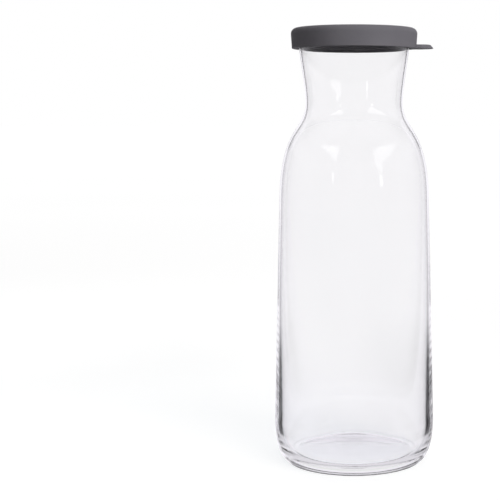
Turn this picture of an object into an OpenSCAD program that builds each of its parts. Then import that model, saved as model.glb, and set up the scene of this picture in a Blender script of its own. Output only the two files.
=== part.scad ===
// Glass carafe with a one-piece silicone lid.
// Both pieces are turned about the upright axis. The origin is the centre of the foot, on the table.
// The pull tab of the lid points along +X.

/* [Glass outside] */
// Height of the straight body, from the table to where the shoulder starts
body_h = 158; // [130:1:200]
// Height of the shoulder, from the body up to the waist of the neck
shoulder_rise = 54; // [46:1:70]
// Height of the flared neck, from its waist up to the rim
neck_rise = 40; // [32:1:60]
// Height of the rounded heel, from the table to the widest place
heel_h = 26; // [14:1:36]
// Outside diameter of the standing ring
foot_d = 76.6; // [64:0.2:84]
// Widest outside diameter, at the top of the heel
body_d = 94.8; // [90:0.2:110]
// Outside diameter where the shoulder starts
shoulder_d = 87.8; // [82:0.2:94]
// Outside diameter of the waist, the narrowest place of the neck
waist_d = 56.6; // [50:0.2:62]
// Outside diameter of the rim
mouth_d = 65.4; // [62:0.2:72]

/* [Glass thickness] */
// Thickness of the rounded rim
rim_wall = 1.6; // [1.2:0.1:3]
// Thickness of the wall at the waist
waist_wall = 1; // [0.8:0.1:3]
// Thickness of the wall where the shoulder starts
shoulder_wall = 1.3; // [1:0.1:3]
// Thickness of the wall at the top of the heel
heel_wall = 3.8; // [2:0.1:6]
// Height of the inside floor above the table
floor_h = 5.5; // [4:0.1:9]
// Diameter of the flat part of the inside floor
floor_d = 72; // [50:0.5:78]
// Width of the flat standing ring
foot_land = 3.5; // [2:0.1:6]
// Height of the push-up in the middle of the underside
kick_h = 1.5; // [0.5:0.1:3]

/* [Lid outside] */
// Thickness of the skirt's wall at its lower edge
skirt_wall = 3.1; // [1.6:0.1:5]
// How much further out the lid stands under its rounded top edge than at the skirt's lower edge
lid_flare = 0.5; // [0:0.1:2]
// Height of the lid, from the skirt's lower edge to its flat top
lid_h = 11.8; // [9:0.1:16]
// Thickness of the flat top
lid_top = 2.6; // [2:0.1:4]
// Radius of the rounded top edge
lid_round = 3.3; // [1.5:0.1:4.5]
// Radius of the small rounds on the skirt's lower edges and the plug's lower edges
edge_round = 0.5; // [0.2:0.1:0.8]

/* [Lid plug] */
// Depth of the ring that plugs the neck, below the underside of the top
plug_depth = 7.5; // [5:0.1:12]
// Thickness of the plug's wall
plug_wall = 2.2; // [1.6:0.1:4]
// Height of one sealing rib on the plug
rib_w = 1.2; // [0.6:0.1:2]

/* [Lid tab] */
// Width of the pull tab
tab_w = 18; // [12:0.5:26]
// How far the tab stands out beyond the skirt
tab_out = 9.8; // [6:0.1:12]
// Thickness of the tab
tab_t = 2.2; // [1.5:0.1:3.5]
// Width of the bevel around the top of the tab
tab_bevel = 1.6; // [0.4:0.1:3]
// Height of the upright edge under the bevel
tab_edge = 0.4; // [0.1:0.1:1]

/* [Fits] */
// Gap between the rim's top and the underside of the lid
seat_gap = 0.2; // [0.1:0.05:0.6]
// Gap between the rim's outside and the inside of the skirt
skirt_gap = 0.4; // [0.2:0.05:1]
// Gap between the plug's wall and the inside of the neck
plug_gap = 0.6; // [0.4:0.05:1.2]
// Gap between a sealing rib and the inside of the neck
seal_gap = 0.25; // [0.1:0.05:0.35]

/* [Hidden] */
$fn = 120;

// Fullness of the curves, as shares of the height that each curve climbs
shoulder_full_share = 0.74;
waist_low_share = 0.29;
waist_high_share = 0.24;
mouth_share = 0.23;
// Where the two sealing ribs sit, as shares of the plug's depth
rib_place_shares = [0.4, 0.72];
// Squareness of the heel's curve, where 2 is an ellipse
heel_power = 2.4;
// How fast the wall thins above the heel, where 1 is a steady taper
thin_power = 1.7;
// How late the neck's wall thickens on its way to the rim, where 1 is a steady growth
bead_power = 2;

curve_steps = 16;
heel_steps = 14;
wall_steps = 8;
kick_steps = 6;
rim_steps = 10;
round_steps = 6;
rib_steps = 6;
// Overrun of a cutting shape past the solid that it cuts
overrun = 1;

glass_h = body_h + shoulder_rise + neck_rise;
waist_h = body_h + shoulder_rise;
rim_r = rim_wall / 2;
rim_h = glass_h - rim_r;
kick_r = foot_d / 2 - foot_land;
// How much the body narrows for each unit of height
body_lean = (body_d - shoulder_d) / 2 / (body_h - heel_h);

seat_h = glass_h + seat_gap;
lid_top_h = seat_h + lid_top;
skirt_h = lid_top_h - lid_h;
skirt_in_r = mouth_d / 2 + skirt_gap;
skirt_r = skirt_in_r + skirt_wall;
lid_r = skirt_r + lid_flare;
plug_h = seat_h - plug_depth;

// Points of a cubic curve that leaves a towards b and arrives at d from c
function curve(a, b, c, d) = [
    for (i = [0 : curve_steps]) let (t = i / curve_steps)
        pow(1 - t, 3) * a + 3 * pow(1 - t, 2) * t * b + 3 * (1 - t) * pow(t, 2) * c + pow(t, 3) * d
];

// Points of a quarter of a squared-off ellipse, from the floor point low to the wall point high
function heel(low, high) = [
    for (i = [0 : heel_steps]) let (s = 90 * i / heel_steps)
        [low[0] + (high[0] - low[0]) * pow(sin(s), 2 / heel_power),
         low[1] + (high[1] - low[1]) * (1 - pow(cos(s), 2 / heel_power))]
];

// Points of an arc about the point mid, from angle a to angle b
function arc(mid, r, a, b, steps) = [
    for (i = [0 : steps]) let (s = a + (b - a) * i / steps) mid + r * [cos(s), sin(s)]
];

// Shoulder curve of a wall that starts at radius low and narrows to the waist radius
function shoulder(low, waist) = curve(
    [low, body_h],
    [low - body_lean * shoulder_full_share * shoulder_rise, body_h + shoulder_full_share * shoulder_rise],
    [waist, waist_h - waist_low_share * shoulder_rise],
    [waist, waist_h]
);

// Neck curve of a wall that opens from the waist radius to the mouth radius
function neck(waist, mouth) = curve(
    [waist, waist_h],
    [waist, waist_h + waist_high_share * neck_rise],
    [mouth, rim_h - mouth_share * neck_rise],
    [mouth, rim_h]
);

// All but the first point of a list, so that two curves can share their meeting point
function after_first(points) = [for (i = [1 : len(points) - 1]) points[i]];

function backwards(points) = [for (i = [len(points) - 1 : -1 : 0]) points[i]];

// Thickness of the body's wall at height z
function body_wall(z) =
    shoulder_wall + (heel_wall - shoulder_wall) * pow(1 - (z - heel_h) / (body_h - heel_h), thin_power);

function body_out_r(z) = body_d / 2 - body_lean * (z - heel_h);

// Thickness of the neck's wall at height z
function neck_wall(z) = waist_wall + (rim_wall - waist_wall) * pow((z - waist_h) / (rim_h - waist_h), bead_power);

neck_inside = [for (p = neck(waist_d / 2, mouth_d / 2)) [p[0] - neck_wall(p[1]), p[1]]];
neck_in_table = [for (p = neck_inside) [p[1], p[0]]];

// Inside radius of the neck at height z
function neck_in_r(z) = lookup(z, neck_in_table);

// Radius that is clear inside the neck all the way up from height z, past the thicker rim
function clear_r(z) = min(neck_in_r(z), neck_in_r(rim_h));

// Underside of the glass, from the middle out to the standing ring
underside = [
    for (i = [0 : kick_steps]) let (r = kick_r * i / kick_steps) [r, kick_h * (1 - pow(r / kick_r, 2))]
];

glass_outside = concat(
    underside,
    heel([foot_d / 2, 0], [body_d / 2, heel_h]),
    shoulder(shoulder_d / 2, waist_d / 2),
    after_first(neck(waist_d / 2, mouth_d / 2))
);

glass_rim = arc([mouth_d / 2 - rim_r, rim_h], rim_r, 0, 180, rim_steps);

body_inside = [
    for (i = [0 : wall_steps]) let (z = heel_h + (body_h - heel_h) * i / wall_steps)
        [body_out_r(z) - body_wall(z), z]
];

glass_inside = concat(
    [[0, floor_h]],
    heel([floor_d / 2, floor_h], body_inside[0]),
    after_first(body_inside),
    after_first(shoulder(shoulder_d / 2 - shoulder_wall, waist_d / 2 - waist_wall)),
    after_first(neck_inside)
);

module glass_carafe() {
    color([0.86, 0.9, 0.92, 0.35])
        rotate_extrude()
            polygon(concat(glass_outside, after_first(glass_rim), after_first(backwards(glass_inside))));
}

// Outside of the lid, from the middle of its top down to the skirt's lower edge
lid_outside = concat(
    [[0, lid_top_h]],
    arc([lid_r - lid_round, lid_top_h - lid_round], lid_round, 90, 0, round_steps),
    arc([skirt_r - edge_round, skirt_h + edge_round], edge_round, 0, -90, round_steps)
);

// Inside of the skirt, from its lower edge up to the seat over the rim
skirt_inside = concat(
    arc([skirt_in_r + edge_round, skirt_h + edge_round], edge_round, 270, 180, round_steps),
    [[skirt_in_r, seat_h]]
);

// One sealing rib: a rounded ridge around the plug at height z
function rib(z) = [
    for (i = [0 : rib_steps]) let (s = 180 * i / rib_steps, y = z + rib_w / 2 * cos(s))
        [clear_r(y) - plug_gap + (plug_gap - seal_gap) * sin(s), y]
];

plug_low_r = clear_r(plug_h) - plug_gap;
plug_in_r = plug_low_r - plug_wall;

// Plug ring with its two ribs, from the seat down and back up inside
plug = concat(
    [[clear_r(seat_h) - plug_gap, seat_h]],
    rib(seat_h - plug_depth * rib_place_shares[0]),
    rib(seat_h - plug_depth * rib_place_shares[1]),
    arc([plug_low_r - edge_round, plug_h + edge_round], edge_round, 0, -90, round_steps),
    arc([plug_in_r + edge_round, plug_h + edge_round], edge_round, 270, 180, round_steps),
    [[plug_in_r, seat_h], [0, seat_h]]
);

// Pull tab: a bevelled round end and a bevelled bar that roots it in the skirt's wall
module pull_tab() {
    tab_r = tab_w / 2;
    mid_x = skirt_r + tab_out - tab_r;
    side = [[tab_r, 0], [tab_r, tab_edge], [tab_r - tab_bevel, tab_t]];
    root_r = skirt_r - skirt_wall / 2;
    translate([0, 0, skirt_h])
        difference() {
            union() {
                translate([mid_x, 0, 0])
                    rotate_extrude()
                        polygon(concat([[0, 0]], side, [[0, tab_t]]));
                rotate([90, 0, 90])
                    linear_extrude(height = mid_x)
                        polygon(concat(side, [for (p = backwards(side)) [-p[0], p[1]]]));
            }
            translate([0, 0, -overrun])
                cylinder(r = root_r, h = tab_t + 2 * overrun);
        }
}

module silicone_lid() {
    color([0.3, 0.3, 0.32])
        union() {
            rotate_extrude()
                polygon(concat(lid_outside, skirt_inside, plug));
            pull_tab();
        }
}

glass_carafe();
silicone_lid();
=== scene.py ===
# %% [markdown]
# Glass carafe with a silicone lid.
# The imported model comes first. It gives the two bodies that the pieces ride on, and a box for each CAD node,
# so that every piece made here can be checked against the part that moves and collides.

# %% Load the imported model
import math

import bmesh
import bpy
import numpy as np
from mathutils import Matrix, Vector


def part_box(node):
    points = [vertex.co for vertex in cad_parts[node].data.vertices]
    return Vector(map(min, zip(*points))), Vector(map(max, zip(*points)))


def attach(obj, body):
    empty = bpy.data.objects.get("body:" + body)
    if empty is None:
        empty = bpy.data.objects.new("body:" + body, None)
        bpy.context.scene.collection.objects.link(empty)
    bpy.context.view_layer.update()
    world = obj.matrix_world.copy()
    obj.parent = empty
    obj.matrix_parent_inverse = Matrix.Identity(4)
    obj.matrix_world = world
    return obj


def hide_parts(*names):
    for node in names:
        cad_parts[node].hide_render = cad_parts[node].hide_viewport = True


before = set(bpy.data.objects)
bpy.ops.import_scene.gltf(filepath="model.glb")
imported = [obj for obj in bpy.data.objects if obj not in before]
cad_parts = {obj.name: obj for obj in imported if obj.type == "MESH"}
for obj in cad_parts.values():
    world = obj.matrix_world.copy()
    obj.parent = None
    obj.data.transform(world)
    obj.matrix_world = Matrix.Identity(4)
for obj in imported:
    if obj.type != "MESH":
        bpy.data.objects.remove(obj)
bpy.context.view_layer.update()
scene = bpy.context.scene
mm = 0.001
for node in ("glass_carafe", "silicone_lid"):
    low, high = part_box(node)
    print(node, "reaches from", [round(v / mm, 1) for v in low], "to", [round(v / mm, 1) for v in high], "mm")

# %% [markdown]
# The camera.
# The photograph looks slightly down on the carafe: the table is seen from 16 degrees above, and the lid's
# lower edge from almost 3 degrees below. Those two angles and the carafe's height fix how far away and how
# high the lens is. The carafe stands upright right of the middle of the picture, as in a picture that was
# cropped. A lens shift gives that: turning the camera would lean the carafe.
# Light that gets into the edge of a glass wall is mirrored many times before it leaves, so the renderer is
# allowed that many bounces. With the usual few, the edges of the glass would be black.

# %% Camera
photo_px = 500
focal_px = 1230
axis_px = 354.1
camera_back = 724 * mm
camera_up = 207.6 * mm
look_down = math.radians(6.49)
light_bounces = 40

camera_data = bpy.data.cameras.new("camera")
camera_data.sensor_width = 36
camera_data.lens = camera_data.sensor_width * focal_px / photo_px
camera_data.shift_x = (photo_px / 2 - axis_px) / photo_px
camera = bpy.data.objects.new("camera", camera_data)
camera.location = (0, -camera_back, camera_up)
camera.rotation_euler = (math.pi / 2 - look_down, 0, 0)
scene.collection.objects.link(camera)
scene.camera = camera
scene.view_settings.view_transform = "Standard"
for kind in ("max", "glossy", "transmission"):
    setattr(scene.cycles, kind + "_bounces", light_bounces)
print("lens", round(camera_data.lens, 1), "mm, shift", round(camera_data.shift_x, 3))

# %% [markdown]
# Curves.
# Both pieces are turned shapes: a profile in the plane of radius and height, carried round the upright axis.
# A profile is an array of (radius, height) rows. Small functions give its stretches as whole arrays, and
# joined puts them together.

# %% Curves for profiles
same_point = 1e-7


def cubic(a, b, c, d, steps):
    """A cubic curve: it leaves a towards b and arrives at d from c, with t running evenly from 0 to 1."""
    t = np.linspace(0, 1, steps)[:, None]
    a, b, c, d = (np.array(p, float) for p in (a, b, c, d))
    return (1 - t) ** 3 * a + 3 * (1 - t) ** 2 * t * b + 3 * (1 - t) * t ** 2 * c + t ** 3 * d


def arc(middle, radius, start, end, steps):
    """Part of a circle about middle: middle plus radius times (cosine, sine) of the angle, in degrees."""
    angle = np.radians(np.linspace(start, end, steps))
    return np.array(middle) + radius * np.stack([np.cos(angle), np.sin(angle)], axis=1)


def squared_quarter(low, high, power, steps):
    """A quarter of a squared-off ellipse from the floor point low to the wall point high.

    The radius grows with the sine to the power 2 over power, and the height with one minus the cosine to that
    same power.
    """
    s = np.linspace(0, math.pi / 2, steps)
    across = np.sin(s) ** (2 / power)
    up = 1 - np.maximum(np.cos(s), 0) ** (2 / power)
    return np.stack([low[0] + (high[0] - low[0]) * across, low[1] + (high[1] - low[1]) * up], axis=1)


def joined(*stretches):
    """The stretches one after another, without the points that repeat where two of them meet."""
    line = np.concatenate([np.atleast_2d(np.array(s, float)) for s in stretches])
    far = np.linalg.norm(np.diff(line, axis=0), axis=1) > same_point
    return line[np.concatenate([[True], far])]


def level_line(start_r, end_r, height, steps):
    """A level stretch of a profile: the radius goes evenly from start_r to end_r at one height."""
    return np.stack([np.linspace(start_r, end_r, steps), np.full(steps, height)], axis=1)


# %% [markdown]
# Turning a profile.
# The profile starts and ends on the axis, so the turned skin is closed: a ring of vertices for each profile
# point, and one vertex at each pole. The rings are one array, and the faces are index arithmetic on a grid,
# without a loop.

# %% Turn a profile into a mesh
def put_mesh(name, points, quads, triangles):
    """A mesh object from an array of points and arrays of four and three vertex numbers per face."""
    corners = np.concatenate([quads.ravel(), triangles.ravel()])
    sizes = np.concatenate([np.full(len(quads), 4), np.full(len(triangles), 3)])
    mesh = bpy.data.meshes.new(name)
    mesh.vertices.add(len(points))
    mesh.vertices.foreach_set("co", np.ascontiguousarray(points, np.float32).ravel())
    mesh.loops.add(len(corners))
    mesh.loops.foreach_set("vertex_index", corners.astype(np.int32))
    mesh.polygons.add(len(sizes))
    mesh.polygons.foreach_set("loop_start", (np.cumsum(sizes) - sizes).astype(np.int32))
    mesh.polygons.foreach_set("use_smooth", np.ones(len(sizes), bool))
    mesh.update(calc_edges=True)
    mesh.validate()
    piece = bpy.data.objects.new(name, mesh)
    scene.collection.objects.link(piece)
    return piece


def turned(name, profile, columns):
    """The profile carried round the Z axis: x and y are the radius times the cosine and sine of the turn.

    The profile runs from the axis to the axis with the solid on its left, so that the faces point outwards.
    """
    turn = np.linspace(0, 2 * math.pi, columns, endpoint=False)
    radius, height = profile[1:-1, :1], profile[1:-1, 1:]
    rings = np.stack([radius * np.cos(turn), radius * np.sin(turn), height + 0 * turn], axis=2)
    points = np.concatenate([rings.reshape(-1, 3), [[0, 0, profile[0, 1]], [0, 0, profile[-1, 1]]]])
    row = np.arange(len(rings) - 1)[:, None] * columns
    here = np.arange(columns)[None, :]
    after = (here + 1) % columns
    quads = np.stack([row + here, row + after, row + columns + after, row + columns + here], axis=2)
    first, last = len(points) - 2, len(points) - 1
    end = (len(rings) - 1) * columns
    here, after = here.ravel(), after.ravel()
    fan = np.stack([np.full(columns, first), after, here], axis=1)
    cap = np.stack([np.full(columns, last), end + here, end + after], axis=1)
    return put_mesh(name, points, quads.reshape(-1, 4), np.concatenate([fan, cap]))


def volume(piece):
    """Volume inside a closed mesh: the sum of a sixth of the triple product of each triangle's corners."""
    mesh = piece.data
    mesh.calc_loop_triangles()
    index = np.empty(len(mesh.loop_triangles) * 3, np.int32)
    mesh.loop_triangles.foreach_get("vertices", index)
    place = np.empty(len(mesh.vertices) * 3, np.float32)
    mesh.vertices.foreach_get("co", place)
    a, b, c = place.reshape(-1, 3).astype(float)[index.reshape(-1, 3)].transpose(1, 0, 2)
    return float(np.einsum("ij,ij->i", a, np.cross(b, c)).sum() / 6)


# %% [markdown]
# The glass.
# On the real carafe one gather of glass is blown into a mould: the wall is thick round the heel, where the
# glass is slow to stretch, and thin at the shoulder and neck. That change of thickness is what draws the dark
# lines near the edges, so the inside is modelled as carefully as the outside, and the two skins meet over the
# rounded rim. Sizes are those of the CAD part, in millimetres.

# %% Sizes of the glass
body_h, shoulder_rise, neck_rise, heel_h = 158, 54, 40, 26
foot_r, body_r, shoulder_r, waist_r, mouth_r = 38.3, 47.4, 43.9, 28.3, 32.7
rim_wall, waist_wall, shoulder_wall, heel_wall = 1.6, 1, 1.3, 3.8
floor_h, floor_r, foot_land, kick_h = 5.5, 36, 3.5, 1.5
shoulder_full, waist_low, waist_high, mouth_full = 0.74, 0.29, 0.24, 0.23
heel_power, thin_power, bead_power = 2.4, 1.7, 2

waist_h = body_h + shoulder_rise
glass_h = waist_h + neck_rise
rim_r = rim_wall / 2
rim_h = glass_h - rim_r
kick_r = foot_r - foot_land
body_lean = (body_r - shoulder_r) / (body_h - heel_h)
print("glass", glass_h, "mm high, widest", 2 * body_r, "mm,",
      "waist", 2 * waist_r, "mm, mouth", 2 * mouth_r, "mm")


# %% Profile of the glass
def shoulder(low_r, high_r):
    """The wall's curve from the top of the straight body in to the waist."""
    lift = shoulder_full * shoulder_rise
    return cubic((low_r, body_h), (low_r - body_lean * lift, body_h + lift),
                 (high_r, waist_h - waist_low * shoulder_rise), (high_r, waist_h), steps=60)


neck_outside = cubic((waist_r, waist_h), (waist_r, waist_h + waist_high * neck_rise),
                     (mouth_r, rim_h - mouth_full * neck_rise), (mouth_r, rim_h), steps=36)
climbed = (neck_outside[:, 1] - waist_h) / (rim_h - waist_h)
neck_wall = waist_wall + (rim_wall - waist_wall) * climbed ** bead_power
neck_inside = np.stack([neck_outside[:, 0] - neck_wall, neck_outside[:, 1]], axis=1)

up = np.linspace(heel_h, body_h, 40)
out_r = body_r - body_lean * (up - heel_h)
wall = shoulder_wall + (heel_wall - shoulder_wall) * (1 - (up - heel_h) / (body_h - heel_h)) ** thin_power
body_outside = np.stack([out_r, up], axis=1)
body_inside = np.stack([out_r - wall, up], axis=1)

under = np.linspace(0, kick_r, 20)
underside = np.stack([under, kick_h * (1 - (under / kick_r) ** 2)], axis=1)
heel_outside = squared_quarter((foot_r, 0), (body_r, heel_h), heel_power, steps=44)
heel_inside = squared_quarter((floor_r, floor_h), body_inside[0], heel_power, steps=44)
flat_floor = level_line(0, floor_r, floor_h, steps=14)

glass_outside = joined(underside, heel_outside, body_outside, shoulder(shoulder_r, waist_r), neck_outside)
glass_rim = arc((mouth_r - rim_r, rim_h), rim_r, 0, 180, steps=15)
shoulder_inside = shoulder(shoulder_r - shoulder_wall, waist_r - waist_wall)
glass_inside = joined(flat_floor, heel_inside, body_inside, shoulder_inside, neck_inside)
glass_profile = joined(glass_outside, glass_rim, glass_inside[::-1])
print("glass profile:", len(glass_profile), "points")

# %% The glass carafe
glass = turned("glass_carafe_blown", glass_profile * mm, columns=216)
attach(glass, "carafe")
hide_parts("glass_carafe")
area = math.pi * glass_inside[:, 0] ** 2
capacity = ((area[1:] + area[:-1]) / 2 * np.diff(glass_inside[:, 1])).sum() / 1e6
print("glass", round(volume(glass) * 1e6, 1), "cm3, holds", round(capacity, 2), "litres to the brim")

# %% [markdown]
# The lid.
# It is one moulding of silicone. The skirt hides the rim, and a ring under the top plugs the neck with two
# soft ribs. The profile runs from the middle of the top, over the rounded edge, down and up round the skirt
# and the plug, and back to the axis inside the recess. It is read from top to bottom here and turned round
# before it is used.

# %% Sizes of the lid
skirt_wall, lid_flare, lid_h, lid_top, lid_round, edge_round = 3.1, 0.5, 11.8, 2.6, 3.3, 0.5
seat_gap, skirt_gap, plug_gap, seal_gap = 0.2, 0.4, 0.6, 0.25
plug_depth, plug_wall, rib_w, rib_places = 7.5, 2.2, 1.2, (0.4, 0.72)

seat_h = glass_h + seat_gap
lid_top_h = seat_h + lid_top
skirt_h = lid_top_h - lid_h
skirt_in_r = mouth_r + skirt_gap
skirt_r = skirt_in_r + skirt_wall
lid_r = skirt_r + lid_flare
plug_h = seat_h - plug_depth


# %% Profile of the lid
def clear_r(height):
    """Radius that is clear inside the neck all the way up from a height: the neck's or the rim's."""
    return np.minimum(np.interp(height, neck_inside[:, 1], neck_inside[:, 0]), neck_inside[-1, 0])


def rib(place):
    """A ridge on the plug: it stands out by the sine of an angle as the height falls by its cosine."""
    angle = np.linspace(0, math.pi, 13)
    height = seat_h - plug_depth * place + rib_w / 2 * np.cos(angle)
    return np.stack([clear_r(height) - plug_gap + (plug_gap - seal_gap) * np.sin(angle), height], axis=1)


def outer_round(radius, low_h):
    """The small round on a lower edge, from the upright face at that radius to the level face inside it."""
    return arc((radius - edge_round, low_h + edge_round), edge_round, 0, -90, steps=9)


def inner_round(radius, low_h):
    """The same where the upright face looks towards the axis, from the level face up to it."""
    return arc((radius + edge_round, low_h + edge_round), edge_round, 270, 180, steps=9)


plug_low_r = clear_r(plug_h) - plug_gap
plug_in_r = plug_low_r - plug_wall
lid_profile = joined(
    level_line(0, lid_r - lid_round, lid_top_h, steps=16),
    arc((lid_r - lid_round, lid_top_h - lid_round), lid_round, 90, 0, steps=22),
    np.linspace((lid_r, lid_top_h - lid_round), (skirt_r, skirt_h + edge_round), 14),
    outer_round(skirt_r, skirt_h),
    inner_round(skirt_in_r, skirt_h),
    np.linspace((skirt_in_r, skirt_h + edge_round), (skirt_in_r, seat_h), 10),
    level_line(skirt_in_r, clear_r(seat_h) - plug_gap, seat_h, steps=4),
    rib(rib_places[0]),
    rib(rib_places[1]),
    outer_round(plug_low_r, plug_h),
    inner_round(plug_in_r, plug_h),
    np.linspace((plug_in_r, plug_h + edge_round), (plug_in_r, seat_h), 8),
    level_line(plug_in_r, 0, seat_h, steps=16),
)
print("lid from", round(skirt_h, 1), "to", round(lid_top_h, 1), "mm,", len(lid_profile), "profile points")

# %% [markdown]
# The pull tab.
# It is a flat tongue with a half-round end, flush with the skirt's lower edge and bevelled round the top.
# Half of its section is carried along one side, round the end and back along the other side. The section
# starts and ends on the middle line, so the two halves meet there and close the tongue once their doubles are
# merged.

# %% The tab's mesh
tab_w, tab_out, tab_t, tab_bevel, tab_edge, tab_soft = 18, 9.8, 2.2, 1.6, 0.4, 0.15
side_rows, end_rows = 5, 49


def softened(corners, radius, steps=5):
    """An outline with rounded inner corners: each is a quadratic curve between points radius away from it."""
    line = [corners[:1]]
    t = np.linspace(0, 1, steps)[:, None]
    for before, corner, after in zip(corners[:-2], corners[1:-1], corners[2:]):
        a = corner + radius * (before - corner) / np.linalg.norm(before - corner)
        b = corner + radius * (after - corner) / np.linalg.norm(after - corner)
        line.append((1 - t) ** 2 * a + 2 * t * (1 - t) * corner + t ** 2 * b)
    return np.concatenate(line + [corners[-1:]])


def tongue(name):
    """The tab: a point is a station on the middle line, plus the section's width outwards."""
    tab_r = tab_w / 2
    root_x = skirt_r - skirt_wall / 2
    middle_x = skirt_r + tab_out - tab_r
    corners = np.array([(0, 0), (tab_r, 0), (tab_r, tab_edge), (tab_r - tab_bevel, tab_t), (0, tab_t)], float)
    section = softened(corners, tab_soft)
    side = np.linspace(root_x, middle_x, side_rows, endpoint=False)
    turn = np.linspace(-math.pi / 2, math.pi / 2, end_rows)
    station = np.concatenate([side, np.full(end_rows, middle_x), side[::-1]])
    heading = np.concatenate([np.full(side_rows, turn[0]), turn, np.full(side_rows, turn[-1])])[:, None]
    x = station[:, None] + np.cos(heading) * section[:, 0]
    y = np.sin(heading) * section[:, 0]
    z = skirt_h + section[:, 1] + 0 * x
    points = np.stack([x, y, z], axis=2).reshape(-1, 3) * mm
    width = len(section)
    row = np.arange(len(station) - 1)[:, None] * width
    here = np.arange(width - 1)[None, :]
    quads = np.stack([row + here, row + width + here, row + width + here + 1, row + here + 1], axis=2)
    return put_mesh(name, points, quads.reshape(-1, 4), np.empty((0, 3), int))


tab = tongue("tab")
print("tab reaches", skirt_r + tab_out, "mm from the axis")

# %% [markdown]
# One moulding.
# The tab and the turned lid are one piece of silicone, so their skins are joined by a boolean union: what
# lies inside the other is gone, and the sharp inner corner between tab and skirt is a real edge. The boolean
# needs closed meshes, so the tab's doubles along its middle line are merged and its root is capped first.

# %% Join the tab to the lid
merge_within = 0.001 * mm
sharp_from = math.radians(38)


def closed(piece):
    """Merges doubled points, fills the open end and makes the faces point outwards."""
    shell = bmesh.new()
    shell.from_mesh(piece.data)
    bmesh.ops.remove_doubles(shell, verts=shell.verts, dist=merge_within)
    open_edges = [e for e in shell.edges if e.is_boundary]
    bmesh.ops.holes_fill(shell, edges=open_edges, sides=0)
    bmesh.ops.recalc_face_normals(shell, faces=shell.faces)
    shell.to_mesh(piece.data)
    shell.free()


def joined_to(piece, other):
    """The union of two closed pieces, as the first one's mesh. The other is deleted."""
    union = piece.modifiers.new("union", "BOOLEAN")
    union.operation = "UNION"
    union.solver = "EXACT"
    union.object = other
    depsgraph = bpy.context.evaluated_depsgraph_get()
    merged = bpy.data.meshes.new_from_object(piece.evaluated_get(depsgraph))
    piece.modifiers.clear()
    piece.data = merged
    bpy.data.objects.remove(other)


lid = turned("lid_silicone", lid_profile[::-1] * mm, columns=192)
closed(tab)
closed(lid)
joined_to(lid, tab)
lid.data.polygons.foreach_set("use_smooth", np.ones(len(lid.data.polygons), bool))
lid.data.set_sharp_from_angle(angle=sharp_from)
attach(lid, "lid")
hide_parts("silicone_lid")
print("lid", round(volume(lid) * 1e6, 2), "cm3,", len(lid.data.polygons), "faces")

# %% [markdown]
# Node helpers.
# A material is a small graph of nodes. These helpers add a node, set its sockets and link them by name, so
# that each material below reads as a list of what feeds what.

# %% Node helpers
def fresh_tree(material):
    """An empty node tree with its output node."""
    material.use_nodes = True
    tree = material.node_tree
    tree.nodes.clear()
    kind = "ShaderNodeOutputWorld" if isinstance(material, bpy.types.World) else "ShaderNodeOutputMaterial"
    return tree, tree.nodes.new(kind)


def add(tree, kind, links=None, settings=None, **values):
    """A node of that kind. links name the sockets that feed its inputs, and values set its other inputs."""
    node = tree.nodes.new("ShaderNode" + kind)
    for name, value in (settings or {}).items():
        setattr(node, name, value)
    for name, value in values.items():
        node.inputs[name.replace("_", " ")].default_value = value
    for name, socket in (links or {}).items():
        tree.links.new(socket, node.inputs[name])
    return node


def maths(tree, operation, a, b=0.0):
    """A Math node: operation on two sockets or numbers."""
    node = tree.nodes.new("ShaderNodeMath")
    node.operation = operation
    for slot_number, value in enumerate((a, b)):
        if isinstance(value, (int, float)):
            node.inputs[slot_number].default_value = value
        else:
            tree.links.new(value, node.inputs[slot_number])
    return node.outputs[0]


def product(tree, first, *others):
    """The product of sockets or numbers, with one Math node for each factor after the first."""
    for factor in others:
        first = maths(tree, "MULTIPLY", first, factor)
    return first


def scaled(tree, value, low, high, to_low, to_high, smooth=False):
    """A Map Range node: value from low to high becomes to_low to to_high, and stays within them."""
    settings = {"interpolation_type": "SMOOTHSTEP"} if smooth else None
    node = add(tree, "MapRange", {"Value": value}, settings)
    for name, number in zip(("From Min", "From Max", "To Min", "To Max"), (low, high, to_low, to_high)):
        node.inputs[name].default_value = number
    return node.outputs[0]


def two_colours(tree, fac, low, high, low_at=0.0, high_at=1.0):
    """A Color Ramp node from the colour low at low_at to the colour high at high_at."""
    node = add(tree, "ValToRGB", {"Fac": fac})
    for element, place, colour in zip(node.color_ramp.elements, (low_at, high_at), (low, high)):
        element.position = place
        element.color = colour
    return node.outputs["Color"]


def chosen(tree, fac, plain, other):
    """A Mix Shader: other where fac is 1, plain where it is 0."""
    mix = add(tree, "MixShader", {"Fac": fac})
    tree.links.new(plain, mix.inputs[1])
    tree.links.new(other, mix.inputs[2])
    return mix.outputs[0]


# %% [markdown]
# Clear glass.
# The glass bends light as soda-lime glass does. Its faint cold tint is stronger low down, where the wall is
# thick, and weaker in the thin neck. The surface has the slow, shallow waves of blown glass, which keep the
# reflections alive. Rays that look for a lamp pass through it, so that the carafe throws the light shadow of
# clear glass and not that of a solid.

# %% Glass material
glass_ior = 1.5
clear_tint, deep_tint = (0.995, 0.992, 1.0, 1), (0.970, 0.967, 0.982, 1)
shadow_tint = (0.93, 0.94, 0.95, 1)
base_tint_h, neck_tint_low, neck_tint_high = 90 * mm, 170 * mm, 225 * mm
body_tint, cloud_tint = 0.15, 0.1


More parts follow.
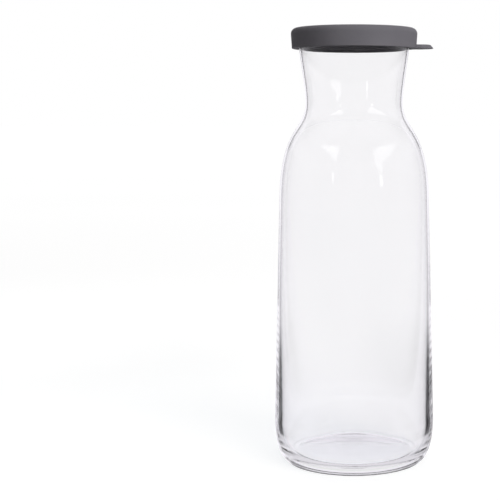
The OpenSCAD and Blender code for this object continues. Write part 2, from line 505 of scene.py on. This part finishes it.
def clear_glass():
    material = bpy.data.materials.new("clear_glass")
    tree, output = fresh_tree(material)
    place = add(tree, "TexCoord").outputs["Object"]
    height = add(tree, "SeparateXYZ", {"Vector": place}).outputs["Z"]
    thick = scaled(tree, height, 0, base_tint_h, 1, body_tint, smooth=True)
    thin = scaled(tree, height, neck_tint_low, neck_tint_high, 0, body_tint, smooth=True)
    cloud = add(tree, "TexNoise", {"Vector": place}, Scale=22.0, Detail=2.0).outputs["Fac"]
    tint = maths(tree, "ADD", maths(tree, "SUBTRACT", thick, thin), product(tree, cloud, cloud_tint))
    colour = two_colours(tree, tint, clear_tint, deep_tint)
    stretched = add(tree, "Mapping", {"Vector": place}, Scale=(1.0, 1.0, 0.35)).outputs[0]
    waves = add(tree, "TexNoise", {"Vector": stretched}, Scale=26.0, Detail=1.0).outputs["Fac"]
    bump = add(tree, "Bump", {"Height": waves}, Strength=0.05, Distance=0.4 * mm).outputs[0]
    body = add(tree, "BsdfPrincipled", {"Base Color": colour, "Normal": bump},
               Roughness=0.0, IOR=glass_ior, Transmission_Weight=1.0)
    passing = add(tree, "BsdfTransparent", Color=shadow_tint)
    lamp_ray = add(tree, "LightPath").outputs["Is Shadow Ray"]
    tree.links.new(chosen(tree, lamp_ray, body.outputs[0], passing.outputs[0]), output.inputs["Surface"])
    return material


glass.data.materials.append(clear_glass())
print("glass material on", glass.name)

# %% [markdown]
# Grey silicone.
# Moulded silicone is matte and slightly soft to the eye: it takes the mould's fine texture, and its grey is
# never quite even. Fine noise gives the grain, and a slow noise with a few specks the colour.

# %% Silicone material
silicone_ior, silicone_gloss = 1.41, 0.3
silicone_dark, silicone_light = (0.108, 0.103, 0.115, 1), (0.124, 0.119, 0.131, 1)
noise_low, noise_high = 0.3, 0.7
smoothest, roughest = 0.58, 0.7
cloud_share, speck_share = 0.7, 0.3


def grey_silicone():
    material = bpy.data.materials.new("grey_silicone")
    tree, output = fresh_tree(material)
    place = add(tree, "TexCoord").outputs["Object"]
    cloud = add(tree, "TexNoise", {"Vector": place}, Scale=60.0, Detail=3.0).outputs["Fac"]
    speck = add(tree, "TexNoise", {"Vector": place}, Scale=1500.0, Detail=2.0).outputs["Fac"]
    tone = maths(tree, "ADD", product(tree, cloud, cloud_share), product(tree, speck, speck_share))
    colour = two_colours(tree, tone, silicone_dark, silicone_light, noise_low, noise_high)
    rough = scaled(tree, cloud, noise_low, noise_high, smoothest, roughest)
    grain = add(tree, "TexNoise", {"Vector": place}, Scale=2600.0, Detail=3.0).outputs["Fac"]
    bump = add(tree, "Bump", {"Height": grain}, Strength=0.12, Distance=0.05 * mm).outputs[0]
    shader = add(tree, "BsdfPrincipled", {"Base Color": colour, "Roughness": rough, "Normal": bump},
                 IOR=silicone_ior, Specular_IOR_Level=silicone_gloss)
    tree.links.new(shader.outputs[0], output.inputs["Surface"])
    return material


lid.data.materials.clear()
lid.data.materials.append(grey_silicone())
print("silicone material on", lid.name)

# %% [markdown]
# How glass is lit.
# Clear glass has no colour of its own to show, so it is drawn by what stands round it: a white wall straight
# behind, and darker sides and front. This studio is painted into the table and the world, as a level of light
# for each direction, and only mirrored rays see it. A ray that the glass just let through sees plain white,
# so that the middle of the carafe is clear.
# Rays are told apart by counting. A ray was mirrored if it has bounced more often than it was let through. It
# is called bent if it has left the glass since, and reflected if it was mirrored last. A ray that was
# mirrored five times or more was trapped in the wall and comes from everywhere, so it never sees less than
# one middle level. A ray that a matte surface sent out to look for light sees the plain surroundings:
# otherwise the painted studio would light the table through the glass.

# %% What a ray sees
trapped_from = 5


def mirrored_often(tree, path, least, counted):
    """1 for a ray mirrored at least that often, by its bounces less the times that it was let through.

    counted is what the renderer already adds to the bounces where the ray ends. It is 1 in the world.
    """
    mirrored = maths(tree, "SUBTRACT", path["Ray Depth"], path["Transmission Depth"])
    return maths(tree, "GREATER_THAN", mirrored, counted + least - 0.5)


def unspread(tree, path):
    """1 for a ray that nothing matte sent out."""
    return maths(tree, "LESS_THAN", path["Diffuse Depth"], 0.5)


def kinds_of_ray(tree, counted=0):
    """Sockets that are 1 for a bent ray, and for a reflected one."""
    path = add(tree, "LightPath").outputs
    mirrored = mirrored_often(tree, path, 1, counted)
    shiny = product(tree, path["Is Glossy Ray"], mirrored, unspread(tree, path))
    bent = product(tree, shiny, path["Is Transmission Ray"])
    return bent, maths(tree, "SUBTRACT", shiny, bent)


def trapped_ray(tree, counted=0):
    """A socket that is 1 for a trapped ray."""
    return mirrored_often(tree, add(tree, "LightPath").outputs, trapped_from, counted)


def straight_ray(tree):
    """Sockets that are 1 for a ray from the camera, and for one that the glass let through."""
    path = add(tree, "LightPath").outputs
    return path["Is Camera Ray"], product(tree, path["Is Transmission Ray"], unspread(tree, path))


# %% [markdown]
# Levels by direction.
# The studio's levels are stops of (degrees, level). The degrees are the turn from straight behind the carafe,
# negative to the left. The far levels hold for the far table and the horizon, the near levels for the table
# close by, and the high levels for what bent rays see above. The wall behind is white for 25 degrees to
# either side. On the near table a dark strip follows from there to 43 degrees, and it is what the dark bands
# at the sides of the glass show. Right of the middle the near levels are uneven, so that the two sides of the
# base don't look alike.

# %% Levels of the studio
far_light = [
    (-180, 0.22), (-120, 0.22), (-90, 0.38), (-70, 0.5), (-55, 0.62), (-45, 0.62), (-34, 0.52), (-29, 0.42),
    (-25.5, 1.0), (25.5, 1.0),
    (29, 0.42), (34, 0.52), (45, 0.62), (55, 0.62), (70, 0.5), (90, 0.38), (120, 0.22), (180, 0.22),
]
near_light = [
    (-180, 0.1), (-120, 0.1), (-100, 0.3), (-60, 0.3), (-48, 0.2), (-43, 0.02), (-27, 0.02), (-24.5, 0.9),
    (-10, 1.0), (8, 1.0), (11, 0.1), (15, 0.3), (19, 0.75), (23, 0.6),
    (25.5, 0.02), (43, 0.02), (48, 0.2), (60, 0.3), (100, 0.3), (120, 0.1), (180, 0.1),
]
high_light = [
    (-180, 0.25), (-120, 0.25), (-90, 0.45), (-60, 0.85), (-45, 1.0),
    (45, 1.0), (60, 0.85), (90, 0.45), (120, 0.25), (180, 0.25),
]
studio_tone = (0.97, 0.955, 1.0, 1)
trapped_light = 0.88


def ramp(tree, fac, stops):
    """A Color Ramp node with grey stops of (place, level), in rising order."""
    node = add(tree, "ValToRGB", {"Fac": fac})
    elements = node.color_ramp.elements
    elements[0].position, elements[1].position = stops[0][0], stops[-1][0]
    for place, level in stops[1:-1]:
        elements.new(place)
    for element, (place, level) in zip(elements, stops):
        element.color = (level, level, level, 1)
    return node.outputs["Color"]


def by_turn(tree, turn, stops):
    """The level that the stops of (degrees, level) give for a turn in radians."""
    share = scaled(tree, turn, -math.pi, math.pi, 0, 1)
    return ramp(tree, share, [((degrees + 180) / 360, level) for degrees, level in stops])


def turn_of(tree, direction):
    """The turn of a direction from straight behind: the arc tangent of x over y."""
    parts = add(tree, "SeparateXYZ", {"Vector": direction}).outputs
    return maths(tree, "ARCTAN2", parts["X"], parts["Y"])


def turn_past(tree, place, away):
    """The turn of a ray that has grazed the body's side on its way to a place on the table.

    The arc sine of the body's radius over the distance comes off the place's own turn, down to zero.
    """
    turn = turn_of(tree, place)
    grazing = maths(tree, "ARCSINE", maths(tree, "MINIMUM", maths(tree, "DIVIDE", body_r * mm, away), 1.0))
    less = maths(tree, "SUBTRACT", maths(tree, "ABSOLUTE", turn), grazing)
    return product(tree, maths(tree, "SIGN", turn), maths(tree, "MAXIMUM", less, 0.0))


print(len(far_light), "far levels,", len(near_light), "near levels,", len(high_light), "high levels")

# %% [markdown]
# The table.
# It is a plain white floor, and the lamps light it, so it keeps the carafe's faint shadow. It also glows for
# the camera and for rays let through, just enough to be white all the way to the horizon. The lamp on the
# right makes its side of the table brighter, and the glow takes that off again. To rays let through it glows
# a little more, because the glass has mirrored some of their light away, but less close by on the lamp's
# side.
# Mirrored rays see the studio on the table. Right round the foot, bent rays see a painted lit ring instead. It
# is narrow in front, because the back wall would mirror a wide one as a pale arc across the shoulder. Along
# the front of the foot a thin dark line is painted into the table's colour and glow, as the contact shadow
# there.
# Distances on the table are in metres. Those of the thin line are in millimetres, as the glass's sizes are.

# %% Floor
floor_half = 15.0
floor = put_mesh("floor", np.array([(-1, -1, 0), (1, -1, 0), (1, 1, 0), (-1, 1, 0)]) * floor_half,
                 np.array([[0, 1, 2, 3]]), np.empty((0, 3), int))
print("floor", 2 * floor_half, "m across")

# %% What the table adds for each kind of ray
near_end, far_start = 0.25, 0.45
floor_glow = [
    (0.0, 0.495), (0.43, 0.545), (1.1, 0.66), (1.84, 0.785), (2.6, 0.865), (3.6, 0.915), (6.0, 0.945),
]
lamp_lean, lean_start, lean_end = 0.17, 0.4, 1.0
extra_white = 0.05
lamp_glare, glare_left, glare_right, glare_near, glare_far = 0.08, -0.01, 0.05, 0.2, 0.5
foot_light, ring_in, ring_out, front_in, front_out = 0.8, 0.066, 0.078, 0.052, 0.056
ring_front_y, ring_side_y = -0.045, -0.02
# The painted contact shadow: a thin dark line on the table along the front of the foot, sizes in millimetres.
contact_shadow_dark, line_in, line_edge, line_out, line_fade = 0.02, 2.0, 0.5, 1.7, 1.2
line_side_y, line_front_y = -6, -26


def studio_level(tree, place, away):
    """What mirrored rays see: the near levels mixed into the far ones by distance."""
    turn = turn_past(tree, place, away)
    distant = scaled(tree, away, near_end, far_start, 0, 1, smooth=True)
    far = product(tree, by_turn(tree, turn, far_light), distant)
    near = product(tree, by_turn(tree, turn, near_light), maths(tree, "SUBTRACT", 1.0, distant))
    return maths(tree, "ADD", far, near)


def foot_level(tree, y, away):
    """The lit ring round the foot that bent rays see: wide behind and beside the foot, narrow in front."""
    behind = scaled(tree, y, ring_front_y, ring_side_y, 0, 1, smooth=True)
    wide = product(tree, scaled(tree, away, ring_in, ring_out, foot_light, 0, smooth=True), behind)
    return maths(tree, "MAXIMUM", wide, scaled(tree, away, front_in, front_out, foot_light, 0, smooth=True))


def glow_level(tree, x, away):
    """What is added for straight rays: by distance, less what the right-hand lamp gives on its side."""
    from_camera, let_through = straight_ray(tree)
    reach = floor_glow[-1][0]
    glow = ramp(tree, maths(tree, "DIVIDE", away, reach), [(r / reach, level) for r, level in floor_glow])
    lean = product(tree, x, scaled(tree, away, lean_start, lean_end, lamp_lean, 0, smooth=True))
    glow = maths(tree, "SUBTRACT", glow, lean)
    glare = product(tree, scaled(tree, x, glare_left, glare_right, 0, lamp_glare, smooth=True),
                    scaled(tree, away, glare_near, glare_far, 1, 0, smooth=True))
    through_glass = maths(tree, "ADD", glow, maths(tree, "SUBTRACT", extra_white, glare))
    return maths(tree, "ADD", product(tree, from_camera, glow), product(tree, let_through, through_glass))


def painted_contact_shadow(tree, y, away):
    """The painted contact shadow along the front of the foot: a factor of 1, and the dark level within the
    line.
    """
    inner = scaled(tree, away, (foot_r - line_in - line_edge) * mm, (foot_r - line_in) * mm, 0, 1)
    outer_r = foot_r + line_out
    outer = scaled(tree, away, outer_r * mm, (outer_r + line_fade) * mm, 1, 0, smooth=True)
    in_front = scaled(tree, y, line_side_y * mm, line_front_y * mm, 0, 1, smooth=True)
    return scaled(tree, product(tree, inner, outer, in_front), 0, 1, 1, contact_shadow_dark)


# %% Material of the table
table_low, table_high = (0.60, 0.60, 0.60, 1), (0.62, 0.62, 0.62, 1)


def white_table():
    material = bpy.data.materials.new("white_table")
    tree, output = fresh_tree(material)
    place = add(tree, "TexCoord").outputs["Object"]
    parts = add(tree, "SeparateXYZ", {"Vector": place}).outputs
    measure = add(tree, "VectorMath", {}, {"operation": "LENGTH"})
    tree.links.new(place, measure.inputs[0])
    away = measure.outputs["Value"]

    # Painted contact shadow: it darkens the table's colour and its glow in a thin line in front of the foot.
    left = painted_contact_shadow(tree, parts["Y"], away)
    grain = add(tree, "TexNoise", {"Vector": place}, Scale=400.0, Detail=2.0).outputs["Fac"]
    toned = add(tree, "VectorMath", {"Scale": left}, {"operation": "SCALE"})
    tree.links.new(two_colours(tree, grain, table_low, table_high), toned.inputs[0])
    matte = add(tree, "BsdfDiffuse", {"Color": toned.outputs[0]})
    glow = add(tree, "Emission", {"Strength": product(tree, glow_level(tree, parts["X"], away), left)})
    plain = add(tree, "AddShader")
    tree.links.new(matte.outputs[0], plain.inputs[0])
    tree.links.new(glow.outputs[0], plain.inputs[1])

    bent, reflected = kinds_of_ray(tree)
    studio = studio_level(tree, place, away)
    lit = maths(tree, "MAXIMUM", studio, foot_level(tree, parts["Y"], away))
    seen_bent = add(tree, "Emission", {"Strength": lit}, Color=studio_tone)
    seen_mirrored = add(tree, "Emission", {"Strength": studio}, Color=studio_tone)
    shown = chosen(tree, bent, plain.outputs[0], seen_bent.outputs[0])
    shown = chosen(tree, reflected, shown, seen_mirrored.outputs[0])
    tree.links.new(shown, output.inputs["Surface"])
    return material


floor.data.materials.append(white_table())
print("table material on", floor.name)

# %% [markdown]
# The surround.
# The world is white to the camera. To rays let through it is the wall behind: a little over white, as the
# table is for them, and less bright higher up. It lights the matte pieces a little from everywhere. Mirrored
# rays see the studio's far levels, bent ones also its high levels above, and trapped ones at least their
# middle level.

# %% World
world_fill = 0.1
ceiling_low, ceiling_high = 0.08, 0.25
wall_low, wall_high, wall_top = 0.14, 0.3, 0.86


def surround():
    world = bpy.data.worlds.new("surround")
    tree, output = fresh_tree(world)
    bent, reflected = kinds_of_ray(tree, counted=1)
    direction = add(tree, "TexCoord").outputs["Generated"]
    turn = turn_of(tree, direction)
    rise = add(tree, "SeparateXYZ", {"Vector": direction}).outputs["Z"]
    rising = product(tree, bent, scaled(tree, rise, ceiling_low, ceiling_high, 0, 1, smooth=True))
    ceiling = product(tree, rising, by_turn(tree, turn, high_light))
    studio = maths(tree, "MAXIMUM", by_turn(tree, turn, far_light), ceiling)
    studio = maths(tree, "MAXIMUM", studio, product(tree, trapped_ray(tree, counted=1), trapped_light))
    from_camera, let_through = straight_ray(tree)
    wall = scaled(tree, rise, wall_low, wall_high, 1 + extra_white, wall_top)
    level = maths(tree, "MAXIMUM", from_camera, product(tree, let_through, wall))
    level = maths(tree, "MAXIMUM", level, world_fill)
    plain = add(tree, "Background", {"Strength": level}, Color=(1, 1, 1, 1))
    mirrored = add(tree, "Background", {"Strength": studio}, Color=studio_tone)
    shown = chosen(tree, maths(tree, "ADD", bent, reflected), plain.outputs[0], mirrored.outputs[0])
    tree.links.new(shown, output.inputs["Surface"])
    return world


scene.world = surround()
print("world set")

# %% [markdown]
# The lamps.
# Two soft boxes stand in front, a strong one on the right and a faint one on the left, and one hangs above
# and behind. They light the lid and the table. The glass doesn't show these lamps: it mirrors the cards
# below.

# %% Soft boxes
aim = np.array([0, 0, 190 * mm])


def toward(azimuth, elevation, distance):
    """The point that far from the aim. Azimuth 0 is straight in front of the carafe, growing to the right."""
    a, e = math.radians(azimuth), math.radians(elevation)
    return aim + distance * np.array([math.sin(a) * math.cos(e), -math.cos(a) * math.cos(e), math.sin(e)])


def soft_box(name, azimuth, elevation, distance, width, height, power):
    """An area lamp that faces the aim, in metres and watts. It lights things but isn't seen or mirrored."""
    data = bpy.data.lights.new(name, "AREA")
    data.shape = "RECTANGLE"
    data.size, data.size_y, data.energy = width, height, power
    lamp = bpy.data.objects.new(name, data)
    place = toward(azimuth, elevation, distance)
    lamp.location = place
    way = (aim - place) / np.linalg.norm(aim - place)
    lamp.rotation_euler = (math.acos(-way[2]), 0, math.atan2(-way[0], way[1]))
    lamp.visible_glossy = False
    lamp.visible_transmission = False
    lamp.visible_camera = False
    scene.collection.objects.link(lamp)


soft_box("soft_box_right", azimuth=40, elevation=30, distance=2.0, width=1.4, height=1.0, power=48)
soft_box("soft_box_left", azimuth=-45, elevation=32, distance=2.4, width=1.2, height=1.0, power=1.5)
soft_box("soft_box_top", azimuth=180, elevation=70, distance=2.0, width=2.0, height=1.4, power=14)
print("three soft boxes")

# %% [markdown]
# The cards.
# A highlight on glass is the mirror image of something bright, and its outline is what the eye reads. The
# highlights on the shoulder and the waist have upright inner edges, level tops and lower edges that climb
# outwards, so each card is cut to such an outline. Only mirrored rays see a card; every other ray passes it.
# The large cards are far away. Their corners are (azimuth, elevation) in degrees, as for the lamps.

# %% Bright cards for the shoulder and the waist
card_distance = 3.0
card_outlines = {
    "card_right": (1.1, [(35, 17.5), (39, 15.5), (42, 12), (45.5, 12.5), (47, 19.5), (65, 24.6), (85, 30),
                         (88, 32), (72, 34), (58, 34), (34, 33.3)]),
    "card_right_low": (1.8, [(40, 4), (45, 4.5), (45, 10.5), (40, 11.5)]),
    "card_left": (1.25, [(-30.5, 21.7), (-27, 33), (-29, 39), (-40, 38.6), (-50, 37), (-62, 35.5),
                         (-68, 34.5), (-63, 33.5), (-45, 28.5)]),
    "card_left_low": (1.8, [(-33.5, 6.5), (-31.5, 6.5), (-31.5, 13.0), (-35.5, 13.0)]),
}


def card(name, points, strength):
    """A flat card of that strength with its corners at the points."""
    mesh = bpy.data.meshes.new(name)
    mesh.from_pydata(np.array(points).tolist(), [], [list(range(len(points)))])
    piece = bpy.data.objects.new(name, mesh)
    material = bpy.data.materials.new(name)
    tree, output = fresh_tree(material)
    light = add(tree, "Emission", Strength=strength)
    nothing = add(tree, "BsdfTransparent")
    mirrored = maths(tree, "MAXIMUM", *kinds_of_ray(tree))
    tree.links.new(chosen(tree, mirrored, nothing.outputs[0], light.outputs[0]), output.inputs["Surface"])
    mesh.materials.append(material)
    scene.collection.objects.link(piece)
    for kind in ("camera", "diffuse", "shadow", "volume_scatter"):
        setattr(piece, "visible_" + kind, False)


for card_name, (strength, outline) in card_outlines.items():
    card(card_name, [toward(a, e, card_distance) for a, e in outline], strength)
print(len(card_outlines), "bright cards")

# %% [markdown]
# Cards close to the neck.
# The inside of the neck's back wall is a hollow mirror, and two small cards in front of the carafe, at the
# height of the lid, give the faint pair of highlights there. Two dark cards stand behind the neck: its wall
# bends and mirrors light sideways near its edges and finds them there, which draws the thin dark line down
# each side. All four are upright, and their corners are (azimuth in degrees, height in millimetres) round the
# axis.

# %% Small cards for the neck
def around(outline, distance):
    """Points at a distance from the axis. Azimuth 0 is straight in front and 180 straight behind."""
    azimuth, height = np.array(outline, float).T
    azimuth = np.radians(azimuth)
    return np.stack([distance * np.sin(azimuth), -distance * np.cos(azimuth), height * mm], axis=1)


near_distance = 160 * mm
near_outlines = {
    "card_neck_right": (1.3, [(67, 275), (54, 278), (36.5, 277), (37, 243.5), (43, 243.5), (54, 260),
                              (66, 270)]),
    "card_neck_left": (2.8, [(-32.6, 279), (-37.6, 280), (-38.2, 275), (-36, 264), (-31.8, 263),
                             (-33.4, 272)]),
}
for card_name, (strength, outline) in near_outlines.items():
    card(card_name, around(outline, near_distance), strength)

dark_distance, dark_low, dark_high, dark_level = 200 * mm, 203, 262, 0.1
dark_outlines = {
    "dark_card_left": [(-144, dark_low), (-136, dark_low), (-136, dark_high), (-144, dark_high)],
    "dark_card_right": [(144, dark_low), (136, dark_low), (136, dark_high), (144, dark_high)],
}
for card_name, outline in dark_outlines.items():
    card(card_name, around(outline, dark_distance), dark_level)
print(len(near_outlines), "small cards in front,", len(dark_outlines), "dark cards behind")
